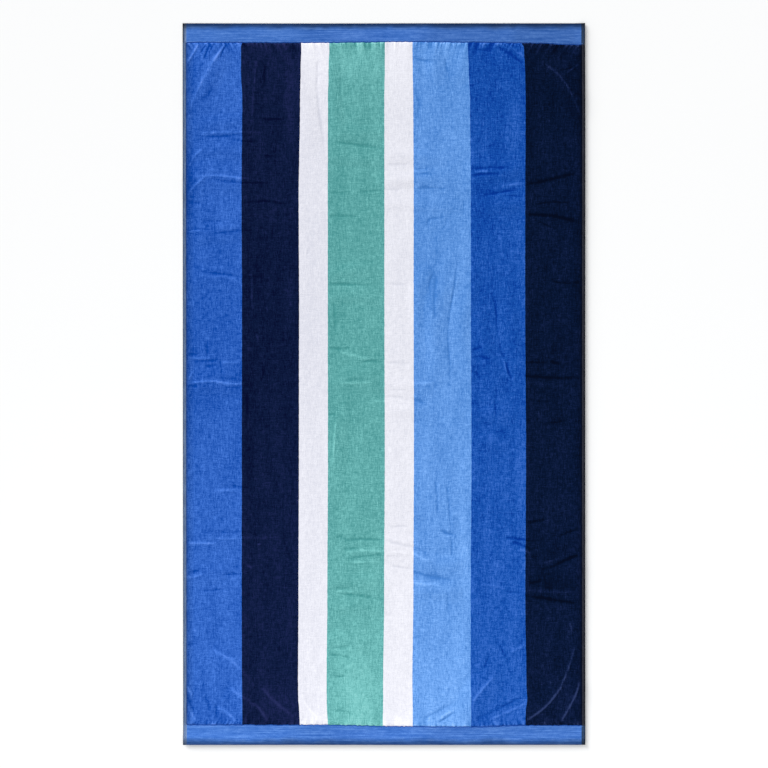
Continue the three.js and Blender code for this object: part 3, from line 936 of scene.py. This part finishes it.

# %% [markdown]
# ## Velour pile
# The pile stands on the ground from seam to seam and from hem to hem, and its sheared face is what
# the eye meets. Each stripe's pile is a closed mesh of its own, a fine sheet whose upper face carries
# every crease and pucker as real relief. Its lower face lies hidden in the ground, so it keeps only
# the few edges that it needs to follow the folds. Two neighbours share the line between them, a
# slightly ragged one, as where two yarns meet. A number for each point, the lean and light, says how
# far the nap leans and how much light and shade are painted into it: it stands open and is painted
# lighter along a ridge, closes and is painted darker in a crease, is painted lighter on a slope that
# faces the light, carries a painted highlight beside each seam, and is painted lighter and darker
# along the towel and in patches. Another number, a painted shade, darkens the nap beside the side
# hems.

# %% Tables of the painted light along the towel and of its lighter and darker patches
PAINTED_LIGHT_ALONG = table("y left middle right", [
    (-863, 0.02, 0.2, 0.2), (-640, 0.05, 0.12, 0.1), (-300, 0.03, 0.02, 0.07),
    (60, -0.13, -0.02, -0.02), (300, -0.09, -0.03, 0.02), (450, 0, -0.06, -0.02),
    (640, -0.02, -0.01, -0.07), (770, 0.08, 0.05, -0.12),
])
PATCHES = table("x y across along lean", [
    # blue
    (-380, 771, 48, 53, 0.06),
    (-457, 680, 22, 96, -0.1),
    (-464, 476, 24, 120, -0.42),
    (-457, 740, 30, 110, -0.22),
    (-420, 690, 26, 60, -0.1),
    (-457, 385, 28, 60, -0.18),
    (-397, 640, 30, 110, 0.07),
    (-385, 395, 36, 90, 0.08),
    (-395, -90, 45, 60, 0.1),
    (-385, -390, 48, 90, 0.07),
    (-459, 93, 29, 60, -0.12),
    (-424, 129, 19, 120, -0.1),
    (-364, 680, 34, 72, 0.08),
    (-380, -445, 48, 24, -0.05),
    # navy
    (-223, 704, 24, 144, 0.22),
    (-225, 600, 24, 80, 0.14),
    (-315, -215, 40, 110, -0.07),
    (-305, -480, 48, 60, -0.05),
    (-270, -765, 72, 70, 0.06),
    (-292, 428, 48, 239, -0.03),
    (-316, 201, 34, 144, -0.06),
    (-328, 10, 19, 144, -0.1),
    (-225, 201, 19, 168, 0.08),
    (-321, -182, 24, 120, -0.12),
    (-292, -285, 34, 24, -0.12),
    (-292, 658, 17, 19, -0.12),
    (-266, 105, 12, 14, -0.15),
    (-242, -175, 19, 24, -0.12),
    (-261, -756, 60, 60, 0.08),
    # white
    (-170, 790, 44, 130, 0.42),
    (-170, 240, 60, 420, -0.16),
    (-170, -812, 60, 40, 0.35),
    # sea green
    (-67, 775, 80, 75, 0.26),
    (-115, 425, 40, 110, -0.09),
    (-125, -90, 30, 60, -0.1),
    (-101, 488, 34, 72, -0.12),
    (-67, 380, 67, 96, -0.06),
    (-101, 177, 29, 72, -0.06),
    (-67, 10, 67, 96, -0.05),
    (-67, -740, 90, 200, 0.32),
    (-19, -790, 19, 29, -0.15),
    # second white
    (35, 780, 44, 130, 0.35),
    (35, -812, 60, 40, 0.35),
    # light blue
    (100, 235, 48, 130, -0.1),
    (134, 790, 72, 60, 0.1),
    (134, 380, 67, 96, -0.08),
    (115, 225, 19, 84, -0.15),
    (129, 316, 14, 17, -0.12),
    (189, -373, 19, 240, 0.2),
    (185, -640, 30, 140, 0.14),
    (185, 690, 30, 90, 0.1),
    (98, 300, 40, 190, -0.12),
    (134, -744, 72, 120, 0.16),
    # royal
    (240, 386, 40, 60, -0.08),
    (228, -285, 28, 50, -0.12),
    (330, -180, 28, 220, 0.08),
    (325, 420, 28, 110, 0.08),
    (230, 751, 24, 72, -0.06),
    (266, 751, 24, 48, -0.16),
    (225, 488, 14, 144, -0.14),
    (242, 464, 34, 34, -0.08),
    (325, 765, 25, 50, 0.12),
    (258, 690, 22, 60, -0.14),
    (258, 470, 24, 60, -0.1),
    (313, 608, 34, 96, 0.2),
    (321, 364, 24, 34, 0.15),
    (244, 201, 29, 144, -0.05),
    (318, 95, 36, 50, -0.14),
    (225, 81, 19, 34, -0.1),
    (282, -117, 22, 26, -0.22),
    (254, -132, 14, 14, 0.25),
    (325, -230, 19, 144, 0.08),
    (273, -433, 17, 17, 0.25),
    (288, -375, 30, 55, 0.16),
    (275, -775, 55, 60, 0.12),
    # deep navy
    (385, 775, 38, 43, 0.08),
    (392, 584, 53, 48, 0.05),
    (392, 464, 53, 38, 0.06),
    (354, 404, 19, 38, 0.1),
    (457, 357, 19, 48, -0.08),
    (457, 201, 19, 96, -0.08),
    (385, 560, 60, 130, 0.05),
    (400, -182, 70, 110, 0.08),
    (404, -385, 62, 53, -0.12),
    (430, -670, 60, 60, -0.06),
    (361, -414, 12, 12, -0.3),
    (404, -480, 80, 55, -0.32),
    (415, 765, 60, 50, 0.07),
    (457, 670, 24, 50, -0.12),
    (375, 385, 48, 50, 0.07),
    (357, 240, 24, 90, -0.05),
    (361, -737, 22, 43, -0.18),
    (404, -785, 22, 22, -0.15),
])
print("brushed at", len(PAINTED_LIGHT_ALONG), "stations and in", len(PATCHES), "patches")

# %% Work out how the nap leans
LEAN_AND_LIGHT_PER_HEIGHT = 0.9
PAINTED_LIGHT_PER_SLOPE = 1.4
SLOPE_STEP = 1.0
SEAM_HIGHLIGHT = 0.3
SEAM_REACH = 3
SEAM_RIPPLES = table(RIPPLE, [(3, 5, 1.2, 41)])


def painted_light_and_patches(x, y):
    """Painted light that changes along the towel, and lighter and darker patches: the table's columns
    stand a third of the width apart.
    """
    left, middle, right = [eased(PAINTED_LIGHT_ALONG, y, column) for column in ("left", "middle", "right")]
    share = np.clip(np.abs(x) / (WIDTH / 3), 0, 1)
    total = middle + (np.where(x < 0, left, right) - middle) * share
    for patch in PATCHES:
        away = ((x - patch.x) / patch.across) ** 2 + ((y - patch.y) / patch.along) ** 2
        total += patch.lean * np.maximum(1 - away, 0) ** 2
    return total


def lean(x, y, relief):
    """How far the nap leans at each place, in shares of its colour's range.

    Painted light and shade: a slope facing the window light is painted lighter and one facing away
    darker, the slope taken along the light's way, from the upper left to the lower right. A ridge is
    painted lighter and a crease darker, and a painted highlight lies beside each seam.
    """
    behind = pressed_in(x + SLOPE_STEP, y - SLOPE_STEP)
    before = pressed_in(x - SLOPE_STEP, y + SLOPE_STEP)
    slope = (behind - before) / math.hypot(2 * SLOPE_STEP, 2 * SLOPE_STEP)
    # Painted highlight: a lighter band of nap beside each seam
    gathered = SEAM_HIGHLIGHT + rippled(SEAM_RIPPLES, x, y)
    seam_highlight = np.exp(-inset(x, y).seam / SEAM_REACH) * gathered
    return painted_light_and_patches(x, y) + LEAN_AND_LIGHT_PER_HEIGHT * relief + PAINTED_LIGHT_PER_SLOPE * slope + seam_highlight


print("the middle of the towel leans by", painted_light_and_patches(np.zeros(1), np.zeros(1)).round(2))

# %% Thin a sheet's hidden face
UNDER_COLUMNS = 8
UNDER_ROWS = 4


def thin_underside(piece, columns, rows):
    """Keeps only a few edges of a sheet's lower face, which need no more than follow the folds."""
    column, row, upper = grid_places(piece, columns, rows)
    a, b = read(piece.data.edges, "vertices", 2, int).T
    lengthwise = (column[a] == column[b]) & (column[a] % UNDER_COLUMNS > 0) & (column[a] < columns)
    crosswise = (row[a] == row[b]) & (row[a] % UNDER_ROWS > 0) & (row[a] < rows)
    bpy.context.tool_settings.mesh_select_mode = (False, True, False)
    bpy.ops.object.mode_set(mode="EDIT")
    bpy.ops.mesh.select_all(action="DESELECT")
    bpy.ops.object.mode_set(mode="OBJECT")
    piece.data.edges.foreach_set("select", ~upper[a] & ~upper[b] & (lengthwise | crosswise))
    bpy.ops.object.mode_set(mode="EDIT")
    bpy.ops.mesh.dissolve_edges()
    bpy.ops.object.mode_set(mode="OBJECT")


print("the hidden face keeps one column in", UNDER_COLUMNS, "and one row in", UNDER_ROWS)

# %% Lay out a stripe's pile
NAP_STEP = 2.2
NAP_ROWS = 712
NAP_STATIONS = [0.8, 1.8, 3.1, 4.7, 6.6]
PILE_INSET = 7.8
RAGGED = table(RIPPLE, [(7, 1, 0.3, 51)])
RAGGED_APART = 13  # how far apart two stripe edges read their noise, so that no two are alike


def stripe_edge(index, y):
    """Where the stripe of this number begins across the towel, at each place along it."""
    if index == 0:
        return PILE_INSET - WIDTH / 2 + eased(SIDE_DRIFT, y, "left")
    if index == len(STRIPES):
        return WIDTH / 2 - PILE_INSET - eased(SIDE_DRIFT, y, "right")
    ragged = rippled(RAGGED, y, np.full_like(y, RAGGED_APART * index))
    return eased(STRIPE_EDGES, y, STRIPES[index]) + ragged


def nap_places(index, column, columns, row):
    """The x and y of a stripe's points.

    A seam's place hangs on x and a stripe's edge on y, so both are worked out twice.
    """
    near = range(len(NAP_STATIONS))
    from_foot = np.interp(row, near, NAP_STATIONS)
    from_head = np.interp(NAP_ROWS - row, near, NAP_STATIONS)
    share = np.interp(row, (near[-1], NAP_ROWS - near[-1]), (0, 1))
    x = LOOM[index] + (LOOM[index + 1] - LOOM[index]) * column / columns
    for _ in range(2):
        foot = seam_inset(x, "foot") - LENGTH / 2 + from_foot
        head = LENGTH / 2 - seam_inset(x, "head") - from_head
        y = foot * (1 - share) + head * share
        left, right = stripe_edge(index, y), stripe_edge(index + 1, y)
        x = left + (right - left) * column / columns
    return x, y


print("a stripe's pile has a point every", NAP_STEP, "mm")

# %% Lay the pile of all eight stripes
# The nap's height at each distance from the side and the seam, and the light kept beside a hem,
# painted in as shade
PILE_AT_SIDE = [(PILE_INSET, 1.75), (8.8, 2.3), (10.2, 2.65), (12.4, 2.9), (15.5, PILE)]
PILE_AT_SEAM = [(0.8, 1.5), (1.8, 2.4), (3.1, 2.8), (5.4, 3.05), (8, 3.1), (14, PILE)]
PILE_SHADE = [(0, 0.42), (1.5, 0.46), (4, 0.68), (9, 0.86), (20, 1)]
LEAST_NAP = 0.2


def lay_pile(index, name):
    """The sheared pile of one stripe, from hem to hem and seam to seam."""
    columns = round((LOOM[index + 1] - LOOM[index]) / NAP_STEP)
    pile = add_sheet("pile_" + name, columns, NAP_ROWS)
    thin_underside(pile, columns, NAP_ROWS)
    column, row, top = grid_places(pile, columns, NAP_ROWS)
    x, y = nap_places(index, column, columns, row)
    place = inset(x, y)
    relief = pressed_in(x, y)
    face = np.minimum(profile(PILE_AT_SIDE, place.side), profile(PILE_AT_SEAM, place.seam))
    face += relief + settled(place) * rippled(NAP_RIPPLES, x, y)
    face = np.maximum(face, GROUND + LEAST_NAP)
    move_points(pile, x, y, lifted(x, y) + np.where(top, face, ROOTS))
    give_layers(pile, {
        "lean": lean(x, y, relief), "shade": profile(PILE_SHADE, place.side - PILE_INSET)})
    finish_mesh(pile)
    return pile


piles = [lay_pile(index, name) for index, name in enumerate(STRIPES)]
print(sum(len(pile.data.polygons) for pile in piles), "faces in", len(piles), "stripes")

# %% [markdown]
# ## Sewing
# Lockstitch shows as a row of short thread ends lying in small dips. One stitch is a low-sided ball
# drawn out to the stitch's length, an array repeats it along the seam, and each point of the row is
# then seated on the cloth, so that the row follows the seam's drift and the cloth's folds. A row runs
# along each header just outside its seam, and one down each side hem.

# %% Place the rows of stitches
STITCH_FROM_SEAM = 2.7
STITCH_FROM_SIDE = 5.4


def along_seam(end, sign):
    """Where a row of stitches runs, just outside the seam at one end."""
    def seat(along, across):
        return along, sign * (LENGTH / 2 - seam_inset(along, end) + STITCH_FROM_SEAM) + across
    return seat


def along_side(side, sign):
    """Where a row of stitches runs down one side hem."""
    def seat(along, across):
        edge = WIDTH / 2 - eased(SIDE_DRIFT, along, side) - STITCH_FROM_SIDE
        return sign * edge + across, along
    return seat


print("stitches lie", STITCH_FROM_SEAM, "mm from a seam and", STITCH_FROM_SIDE, "mm from a side")

# %% Sew the seams and hems
THREAD = 0.42
STITCH_HALF = 0.38  # half a stitch's length, as a share of the pitch
STITCH_FLATNESS = 0.8
SEAM_STITCH = 4.6
HEM_STITCH = 4.0
SEAM_UNSEWN = 12
HEM_UNSEWN = 8


def sew(name, length, pitch, seat):
    """A row of stitches in the middle of the given length, seated on the cloth."""
    bpy.ops.object.select_all(action="DESELECT")
    bpy.ops.mesh.primitive_uv_sphere_add(segments=6, ring_count=4, radius=THREAD)
    stitches = bpy.context.object
    stitches.name = stitches.data.name = name
    edit(bpy.ops.transform.resize, value=(STITCH_HALF * pitch / THREAD, 1, STITCH_FLATNESS))
    array = stitches.modifiers.new("row", "ARRAY")
    array.count = int(length / pitch)
    array.use_relative_offset = False
    array.use_constant_offset = True
    array.constant_offset_displace = (pitch, 0, 0)
    row_length = (array.count - 1) * pitch
    bpy.ops.object.modifier_apply(modifier="row")
    along, across, up = read(stitches.data.vertices, "co", 3).T
    x, y = seat(along - row_length / 2, across)
    move_points(stitches, x, y, lifted(x, y) + ground_thickness(x, y) + up)
    finish_mesh(stitches)
    return stitches


seam_stitches = [
    sew("seam_stitches_" + end, WIDTH - SEAM_UNSEWN, SEAM_STITCH, along_seam(end, sign))
    for end, sign in (("head", 1), ("foot", -1))]
hem_stitches = [
    sew("hem_stitches_" + side, LENGTH - HEM_UNSEWN, HEM_STITCH, along_side(side, sign))
    for side, sign in (("left", -1), ("right", 1))]
print(sum(len(row.data.polygons) for row in seam_stitches + hem_stitches), "faces in the sewing")

# %% [markdown]
# ## The weave's own map
# Every pattern on cloth follows the threads, so it is drawn on a UV map named woven, which holds each
# point's place on the loom. There every stripe edge is dead straight. A point's place is read between
# the two edges beside it, which undoes the pull that the finished towel shows.

# %% Lay out the woven map
def on_loom(x, y):
    """The x that each place had on the loom, between the straight edges of its stripe."""
    here = [eased(STRIPE_EDGES, y, name) for name in STRIPES[1:]]
    here = np.stack([np.full(len(x), -WIDTH / 2), *here, np.full(len(x), WIDTH / 2)])
    stripe = np.clip((x >= here).sum(0) - 1, 0, len(STRIPES) - 1)
    every = np.arange(len(x))
    left, right = here[stripe, every], here[stripe + 1, every]
    return LOOM[stripe] + (LOOM[stripe + 1] - LOOM[stripe]) * (x - left) / (right - left)


def lay_map(piece):
    """Gives each corner of a piece its place on the loom, as a share of the cloth's size."""
    x, y, _ = read(piece.data.vertices, "co", 3).T / MM
    corner = read(piece.data.loops, "vertex_index", 1, int)[:, 0]
    woven = np.stack([on_loom(x, y) / WIDTH + 0.5, y / LENGTH + 0.5], 1)[corner]
    layer = piece.data.uv_layers.active
    layer.name = "woven"
    layer.uv.foreach_set("vector", woven.astype(np.float32).ravel())
    return len(corner)


print(sum(lay_map(piece) for piece in [cloth] + piles), "corners mapped")

# %% [markdown]
# ## Velour
# Cotton velour is terry whose loops are sheared off, so it shows the cut ends of the pile: matt, a
# little sheen at a glance, and mottled where the nap leans one way or the other. Where it leans away,
# the eye looks between the tufts at their darker roots, and where it leans towards the light it sees
# pale tips. Each yarn therefore has four colours on one ramp, its roots, nap, tips and a painted
# highlight for the crest of a crease, and the mottling and the lean with its painted light and shade
# choose among them. The mottling is the sum of a few noises.
# Real tufts are under a millimetre across, too fine to show, so they are drawn at 2.6 mm. Streaks run
# along the warp and fewer across it, and the broadest patches are 150 mm long.

# %% Table of the yarns
# Each yarn's last colour is a painted highlight for the crest of a crease
Yarn = namedtuple("Yarn", "roots nap tips crest")
YARNS = {
    "blue": Yarn("#0444a3", "#2d60bc", "#467ad8", "#628ee6"),
    "navy": Yarn("#01062b", "#08183b", "#19224e", "#242c5a"),
    "white": Yarn("#d8d9e4", "#e4e4ed", "#efeff7", "#fafafd"),
    "sea_green": Yarn("#45908f", "#5ea6a4", "#77c1be", "#8dd1ce"),
    "white_2": Yarn("#dadbe5", "#e6e6ee", "#f0f0f8", "#fbfbfe"),
    "light_blue": Yarn("#417bc7", "#5d93db", "#78adf3", "#91bffc"),
    "royal": Yarn("#003392", "#1350ab", "#376ac6", "#4d7ed4"),
    "deep_navy": Yarn("#00071e", "#021230", "#0f1e44", "#28365f"),
    "header": Yarn("#2c60b4", "#4576c8", "#6493e0", "#74a2ec"),
    "left_hem": Yarn("#44587a", "#5f7599", "#8099bd", "#a0b6d6"),
    "right_hem": Yarn("#0c0e17", "#1b1e2a", "#33343e", "#4c4d57"),
    "left_corner": Yarn("#4a5f84", "#667ea6", "#8da3c6", "#a9bcda"),
    "right_corner": Yarn("#142643", "#284061", "#46618b", "#6582ac"),
}
print(len(YARNS), "yarns")

# %% Make the mottling
GRAIN = "across along detail weight"
VELOUR_GRAINS = table(GRAIN, [
    (2.6, 2.6, 1, 1.2), (2.8, 14, 2, 1.3), (14, 2.8, 2, 1), (5, 40, 2, 0.6), (30, 5, 2, 0.4),
    (9, 10, 2, 0.5), (30, 150, 2, 0.6)])
GRAIN_APART = Vector((7, 3, 1))


def woven_place(tree):
    """Each point's place on the loom, in millimetres."""
    loom = add(tree, "ShaderNodeUVMap", uv_map="woven")
    return add(tree, "ShaderNodeMapping", {
        "Vector": loom.outputs["UV"], "Scale": (WIDTH, LENGTH, 1)}).outputs["Vector"]


def mottling(tree, place, grains):
    """The sum of several noises about zero, each as wide and long as its row of the table says."""
    total = -sum(grain.weight for grain in grains) / 2
    for index, grain in enumerate(grains):
        scaled = add(tree, "ShaderNodeMapping", {
            "Vector": place, "Location": index * GRAIN_APART,
            "Scale": (1 / grain.across, 1 / grain.along, 1)})
        noise = add(tree, "ShaderNodeTexNoise", {
            "Vector": scaled.outputs["Vector"], "Scale": 1, "Detail": grain.detail})
        total = add(tree, "ShaderNodeMath", {
            0: noise.outputs["Fac"], 1: grain.weight, 2: total}, operation="MULTIPLY_ADD").outputs[0]
    return total


def yarn_ramp(tree, height, yarn):
    """The yarn's colour: its roots at -0.5, its nap at 0, its tips at 0.5 and its painted crest
    highlight at 1.
    """
    share = add(tree, "ShaderNodeMath", {0: height, 1: 2 / 3, 2: 1 / 3}, operation="MULTIPLY_ADD")
    ramp = add(tree, "ShaderNodeValToRGB", {"Fac": share.outputs[0]})
    for position in (1 / 3, 2 / 3):
        ramp.color_ramp.elements.new(position)
    for stop, code in zip(ramp.color_ramp.elements, YARNS[yarn]):
        stop.color = linear(code)
    return ramp.outputs["Color"]


print(len(VELOUR_GRAINS), "grains in the velour")


# %% Finish a cloth's material
def in_shade(tree, colour):
    """A colour, darkened by the light that each point of its piece has lost."""
    shade = add(tree, "ShaderNodeAttribute", attribute_name="shade")
    return add(tree, "ShaderNodeVectorMath", {
        0: colour, "Scale": shade.outputs["Fac"]}, operation="SCALE").outputs["Vector"]


def finish_cloth(tree, shader, colour, grain, depth):
    """Gives a cloth its colour, and its grain as a relief of the depth asked for."""
    tree.links.new(colour, shader.inputs["Base Color"])
    bump = add(tree, "ShaderNodeBump", {"Height": grain, "Distance": depth * MM})
    tree.links.new(bump.outputs["Normal"], shader.inputs["Normal"])


print("a cloth takes its colour, shade and grain")

# %% Make a velour for each stripe
NAP_RELIEF = 0.2


def velour(name):
    """Sheared cotton pile in one yarn: matt, with a faint cool sheen from the cut ends."""
    material, tree, shader = new_material("cotton_velour_" + name, {
        "Roughness": 0.95, "Specular IOR Level": 0.04, "Sheen Weight": 0.08,
        "Sheen Roughness": 0.45, "Sheen Tint": linear("#b9cdf2")})
    grain = mottling(tree, woven_place(tree), VELOUR_GRAINS)
    # Painted light and shade: the nap's lean and its painted light move the colour along the yarn's
    # ramp
    leaning_and_light = add(tree, "ShaderNodeAttribute", attribute_name="lean")
    height = add(tree, "ShaderNodeMath", {0: grain, 1: leaning_and_light.outputs["Fac"]}, operation="ADD")
    colour = in_shade(tree, yarn_ramp(tree, height.outputs[0], name))
    finish_cloth(tree, shader, colour, grain, NAP_RELIEF)
    return material


for pile, name in zip(piles, STRIPES):
    pile.data.materials.append(velour(name))
print("velour on", len(piles), "stripes")

# %% [markdown]
# ## Terry loops
# The underside keeps its loops uncut. It shows the same stripes, painted a little deeper in colour as
# the shade that small round loops cast on each other as they stand in the rows of the weave. One ramp
# across the loom gives the stripes, with a hard step at each straight edge.

# %% Make the looped underside
LOOP_GRAINS = table(GRAIN, [(2.4, 2.4, 1, 1.2), (5, 6, 1, 0.6), (40, 50, 2, 0.4)])
LOOP_RELIEF = 0.9
LOOP_PAINTED_SHADE = 0.86
LOOP_CONTRAST = 0.35
loops, tree, shader = new_material("cotton_terry_loops", {
    "Roughness": 0.95, "Specular IOR Level": 0.06})
place = woven_place(tree)
grain = mottling(tree, place, LOOP_GRAINS)
across = add(tree, "ShaderNodeSeparateXYZ", {"Vector": place})
share = add(tree, "ShaderNodeMath", {0: across.outputs["X"], 1: WIDTH}, operation="DIVIDE")
stripes = add(tree, "ShaderNodeValToRGB", {"Fac": share.outputs[0]})
stripes.color_ramp.interpolation = "CONSTANT"
for _ in STRIPES[2:]:
    stripes.color_ramp.elements.new(1)
for stop, begins, name in zip(stripes.color_ramp.elements, LOOM, STRIPES):
    stop.position = begins / WIDTH + 0.5
    stop.color = linear(YARNS[name].nap)
# Painted shade: the loops' shade on each other darkens the stripes' colour unevenly
depth = add(tree, "ShaderNodeMath", {
    0: grain, 1: LOOP_CONTRAST, 2: LOOP_PAINTED_SHADE}, operation="MULTIPLY_ADD")
colour = add(tree, "ShaderNodeVectorMath", {
    0: stripes.outputs["Color"], "Scale": depth.outputs[0]}, operation="SCALE")
finish_cloth(tree, shader, colour.outputs["Vector"], grain, LOOP_RELIEF)
print("terry loops for the underside")

# %% [markdown]
# ## Flat weave
# A header has no pile. It is a plain tight weave whose cross ribs show as fine streaks along it, and
# its yarn is a lighter blue. Painted shade darkens it unevenly where the cloth rolls over and under
# at its edge, and a darker blue is painted into the crevice of the seam as its shade.

# %% Make the header's weave
HEADER_GRAINS = table(GRAIN, [
    (2.6, 1.8, 1, 0.8), (90, 2.6, 2, 1.7), (14, 5, 2, 0.9), (60, 24, 2, 0.35)])
WEAVE_RELIEF = 0.2
header_weave, tree, shader = new_material("cotton_flat_weave", {
    "Roughness": 0.85, "Specular IOR Level": 0.06})
grain = mottling(tree, woven_place(tree), HEADER_GRAINS)
crevice_shade = add(tree, "ShaderNodeAttribute", attribute_name="crevice_shade")
# Painted shade: the colour is mixed towards a dark blue in the seam's crevice
shaded_crevice = add(tree, "ShaderNodeMix", {
    "Factor": crevice_shade.outputs["Fac"], 6: in_shade(tree, yarn_ramp(tree, grain, "header")),
    7: linear("#17479c")}, data_type="RGBA")
finish_cloth(tree, shader, shaded_crevice.outputs[2], grain, WEAVE_RELIEF)
print("flat weave for the headers")

# %% [markdown]
# ## Twill
# The side hems are the cloth's own selvages, turned under and stitched. The left one is a greyed
# blue and the right one a charcoal, and both take the header's blue where they cross it.

# %% Make the side hems' twill
HEM_GRAINS = table(GRAIN, [(1.6, 4, 1, 1), (4, 30, 2, 1.2)])
hem_twill, tree, shader = new_material("cotton_twill_hem", {
    "Roughness": 0.88, "Specular IOR Level": 0.15})
place = woven_place(tree)
grain = mottling(tree, place, HEM_GRAINS)
across = add(tree, "ShaderNodeSeparateXYZ", {"Vector": place})
right = add(tree, "ShaderNodeMath", {
    0: across.outputs["X"], 1: WIDTH / 2}, operation="GREATER_THAN")
hem, corner = [
    add(tree, "ShaderNodeMix", {
        "Factor": right.outputs[0], 6: yarn_ramp(tree, grain, "left_" + part),
        7: yarn_ramp(tree, grain, "right_" + part)}, data_type="RGBA")
    for part in ("hem", "corner")]
from_seam = add(tree, "ShaderNodeAttribute", attribute_name="from_seam")
at_header = add(tree, "ShaderNodeMath", {0: from_seam.outputs["Fac"], 1: 0}, operation="LESS_THAN")
yarn = add(tree, "ShaderNodeMix", {
    "Factor": at_header.outputs[0], 6: hem.outputs[2], 7: corner.outputs[2]}, data_type="RGBA")
finish_cloth(tree, shader, in_shade(tree, yarn.outputs[2]), grain, WEAVE_RELIEF)
print("twill for the side hems")

# %% [markdown]
# ## Thread
# The sewing thread is spun polyester, a shade lighter than the cloth that it crosses and a little
# glossier than cotton, with a twist that shows as fine bands along each stitch.

# %% Make the thread
TWIST = 0.9
STRANDS = (0.3, 0.7)


def thread(name, *codes):
    """Spun polyester, twisted from a darker and a lighter strand."""
    material, tree, shader = new_material("polyester_thread_" + name, {"Roughness": 0.6})
    place = add(tree, "ShaderNodeTexCoord")
    twist = add(tree, "ShaderNodeTexNoise", {
        "Vector": place.outputs["Object"], "Scale": 1 / (TWIST * MM), "Detail": 1})
    strands = add(tree, "ShaderNodeValToRGB", {"Fac": twist.outputs["Fac"]})
    for stop, position, code in zip(strands.color_ramp.elements, STRANDS, codes):
        stop.position = position
        stop.color = linear(code)
    tree.links.new(strands.outputs["Color"], shader.inputs["Base Color"])
    return material


blue_thread = thread("blue", "#3f6fb8", "#6c98d8")
for row in seam_stitches:
    row.data.materials.append(blue_thread)
hem_stitches[0].data.materials.append(thread("grey", "#566a86", "#7d91ad"))
hem_stitches[1].data.materials.append(thread("charcoal", "#26272d", "#3f4046"))
print("thread on", len(seam_stitches + hem_stitches), "rows of stitches")

# %% [markdown]
# ## Dressing the ground
# The ground cloth wears three of these: the flat weave where it lies beyond a seam, the twill along
# its sides, and the loops underneath. Each face is dressed by where its middle lies.

# %% Dress each part of the ground in its weave
WEAVE_PAST_SEAM = 0.5
TWILL_WIDTH = HEM_WIDTH + 1
LOOPS, WEAVE, TWILL = range(3)
for cloth_material in (loops, header_weave, hem_twill):
    cloth.data.materials.append(cloth_material)
x, y, _ = read(cloth.data.polygons, "center", 3).T / MM
underneath = read(cloth.data.polygons, "normal", 3)[:, 2] < -0.5
place = inset(x, y)
wears = np.where(place.seam < WEAVE_PAST_SEAM, WEAVE, LOOPS)
wears = np.where(place.side < TWILL_WIDTH, TWILL, wears)
wears = np.where(underneath & (place.seam > 0) & (place.side > TWILL_WIDTH), LOOPS, wears)
cloth.data.polygons.foreach_set("material_index", wears)
cloth.data.update()
print("faces in each weave:", np.bincount(wears))

# %% [markdown]
# ## Finish
# Every piece rides on the part's one body and stands for its solid, which is hidden. The ground cloth
# is a sheet of the size it was cut to, with the pile and the sewing as the pieces on it.

dressing = piles + seam_stitches + hem_stitches
for piece in [cloth] + dressing:
    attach(piece, "root")
    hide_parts("towel")
faces = sum(sum(len(p.vertices) - 2 for p in piece.data.polygons) for piece in [cloth] + dressing)
print(faces, "triangles in all")
